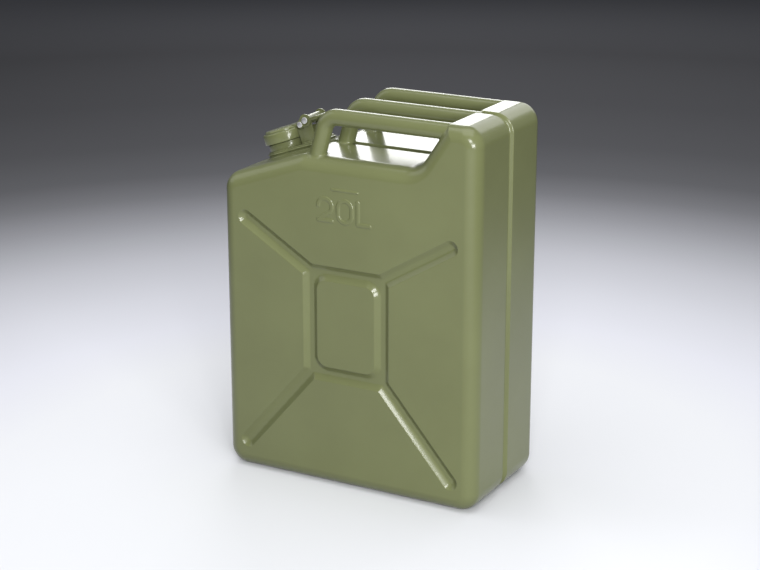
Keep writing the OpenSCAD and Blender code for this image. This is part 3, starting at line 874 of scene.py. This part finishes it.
# These keep the form of their solids, with each edge rounded over the width given last
for node, body, width in (("neck", "can", 0.4), ("hinge_bracket", "can", 0.45), ("lever", "lever", 0.45),
                          ("lid_cap", "lid", 0.6), ("lid_plate", "lid", 0.5)):
    dress(soften(node, width), paint, body, "green_paint", node)

# Floor, lights and camera

FLOOR_PALE = (0.76, 0.77, 0.80)
# FLOOR_FAR is the dark end of the floor's painted shade, and the background colour too
FLOOR_FAR = (0.16, 0.165, 0.185)
FLOOR_BOUNCE = (0.22, 0.22, 0.23)
FLOOR_RADIUS, FLOOR_SIDES = 14, 96

# Painted shade: the floor is FLOOR_PALE up to the first share of FADE_REACH from its middle, and beyond
# that its colour darkens the way the studio light falls off with distance. Each further share has its
# grey, tinted a little blue, and at the whole reach the floor is FLOOR_FAR.
FADE_REACH = 5
FADE_START = 0.09
PAINTED_FALLOFF = ((0.12, 0.74), (0.15, 0.66), (0.19, 0.52), (0.24, 0.29), (0.27, 0.175), (0.30, 0.112),
        (0.35, 0.081), (0.43, 0.063), (0.55, 0.055))
FADE_TINT = (0.97, 0.98, 1.06)
# The least x, y and z that count as distance, so that y counts only behind the can
FADE_LEAST = (-9, 0, 0)

WORLD_LIGHT = (0.93, 0.95, 1.0)
WORLD_STRENGTH = 0.16

AIM = Vector((-0.0005, 0, 0.2372))
CAMERA_AZIMUTH, CAMERA_ELEVATION = 28.974, 17.754
CAMERA_DISTANCE = 2.3978
CAMERA_LENS = 92.92
SENSOR_WIDTH = 36

# Name, azimuth, elevation, distance, width, height and radiance
LIGHTS = (
    ("key", 30.1, 28.5, 3.0, 0.76, 0.76, 23),
    ("low_front", 46, 9.5, 3.0, 1.1, 0.75, 25),
    ("overhead", 25, 82, 2.6, 2.5, 2.5, 2.3),
    ("back_panel", -150, 25, 3.2, 1.2, 1.4, 5.2),
    ("back_soft", 178, 25, 3.2, 1.8, 1.4, 2.0),
    ("left_panel", -76, 32, 3.0, 1.8, 2.2, 1.1),
)


def seen_rays(tree):
    """Is 1 for the rays that show the background: straight, mirrored or through glass."""
    paths = tree.nodes.new("ShaderNodeLightPath").outputs
    seen = paths["Is Camera Ray"]
    for other in ("Is Glossy Ray", "Is Transmission Ray"):
        either = tree.nodes.new("ShaderNodeMath")
        either.operation = "MAXIMUM"
        tree.links.new(seen, either.inputs[0])
        tree.links.new(paths[other], either.inputs[1])
        seen = either.outputs[0]
    return seen


def floor_material():
    """Pale floor with painted shade that darkens it to dark grey beside and behind the can, where the
    light falls off, and that lights the can less than it shows.
    """
    material, shader = new_material("studio_floor")
    nodes, links = material.node_tree.nodes, material.node_tree.links
    place = nodes.new("ShaderNodeTexCoord").outputs["Object"]
    counted = nodes.new("ShaderNodeVectorMath")
    counted.operation = "MAXIMUM"
    counted.inputs[1].default_value = FADE_LEAST
    links.new(place, counted.inputs[0])
    far = nodes.new("ShaderNodeVectorMath")
    far.operation = "LENGTH"
    links.new(counted.outputs[0], far.inputs[0])
    fade = nodes.new("ShaderNodeValToRGB")
    fade.color_ramp.interpolation = "LINEAR"
    stops = fade.color_ramp.elements
    stops[0].position = FADE_START
    stops[0].color = (*FLOOR_PALE, 1)
    stops[1].position = 1.0
    stops[1].color = (*FLOOR_FAR, 1)
    # Painted shade: each stop is a darker grey, standing for the light's fall-off across the floor
    for position, shade in PAINTED_FALLOFF:
        stops.new(position).color = (*(shade * c for c in FADE_TINT), 1)
    links.new(remap(material, far.outputs["Value"], (0, FADE_REACH), (0, 1)), fade.inputs["Fac"])
    seen = seen_rays(material.node_tree)
    colour = mix_colours(material, seen, FLOOR_BOUNCE, fade.outputs["Color"])
    links.new(colour, shader.inputs["Base Color"])
    shader.inputs["Roughness"].default_value = 0.6
    shader.inputs["Specular IOR Level"].default_value = 0.0
    return material


def add_floor():
    """A wide round floor under the can."""
    work = bmesh.new()
    bmesh.ops.create_circle(work, cap_ends=True, segments=FLOOR_SIDES, radius=FLOOR_RADIUS)
    mesh = bpy.data.meshes.new("floor")
    work.to_mesh(mesh)
    work.free()
    floor = bpy.data.objects.new("floor", mesh)
    bpy.context.scene.collection.objects.link(floor)
    floor.data.materials.append(floor_material())


def direction(azimuth, elevation):
    """From the can towards a place: azimuth 0 is in front of it, and 90 beside its raised end."""
    a, e = math.radians(azimuth), math.radians(elevation)
    return Vector((math.sin(a) * math.cos(e), -math.cos(a) * math.cos(e), math.sin(e)))


def add_light(name, azimuth, elevation, distance, width, height, radiance):
    """A soft rectangular light that looks at the can, its power worked out from its radiance."""
    data = bpy.data.lights.new(name, "AREA")
    data.shape = "RECTANGLE"
    data.size, data.size_y = width, height
    data.energy = radiance * math.pi * width * height
    light = bpy.data.objects.new(name, data)
    toward = direction(azimuth, elevation)
    light.location = AIM + toward * distance
    light.rotation_mode = "QUATERNION"
    light.rotation_quaternion = toward.to_track_quat("Z", "Y")
    bpy.context.scene.collection.objects.link(light)


def add_world():
    """A faint even light, and a dark grey background for the rays that show it."""
    world = bpy.data.worlds.new("studio")
    bpy.context.scene.world = world
    world.use_nodes = True
    nodes, links = world.node_tree.nodes, world.node_tree.links
    nodes.clear()
    output = nodes.new("ShaderNodeOutputWorld")
    seen, lit = nodes.new("ShaderNodeBackground"), nodes.new("ShaderNodeBackground")
    seen.inputs["Color"].default_value = (*FLOOR_FAR, 1)
    lit.inputs["Color"].default_value = (*WORLD_LIGHT, 1)
    lit.inputs["Strength"].default_value = WORLD_STRENGTH
    mix = nodes.new("ShaderNodeMixShader")
    links.new(seen_rays(world.node_tree), mix.inputs["Fac"])
    links.new(lit.outputs[0], mix.inputs[1])
    links.new(seen.outputs[0], mix.inputs[2])
    links.new(mix.outputs[0], output.inputs["Surface"])


def add_camera():
    """The camera that was fitted to the photograph."""
    data = bpy.data.cameras.new("camera")
    data.sensor_width = SENSOR_WIDTH
    data.lens = CAMERA_LENS
    camera = bpy.data.objects.new("camera", data)
    toward = direction(CAMERA_AZIMUTH, CAMERA_ELEVATION)
    camera.location = AIM + toward * CAMERA_DISTANCE
    camera.rotation_mode = "QUATERNION"
    camera.rotation_quaternion = toward.to_track_quat("Z", "Y")
    bpy.context.scene.collection.objects.link(camera)
    bpy.context.scene.camera = camera


add_floor()
add_world()
for light in LIGHTS:
    add_light(*light)
add_camera()

bpy.context.scene.view_settings.view_transform = "Standard"
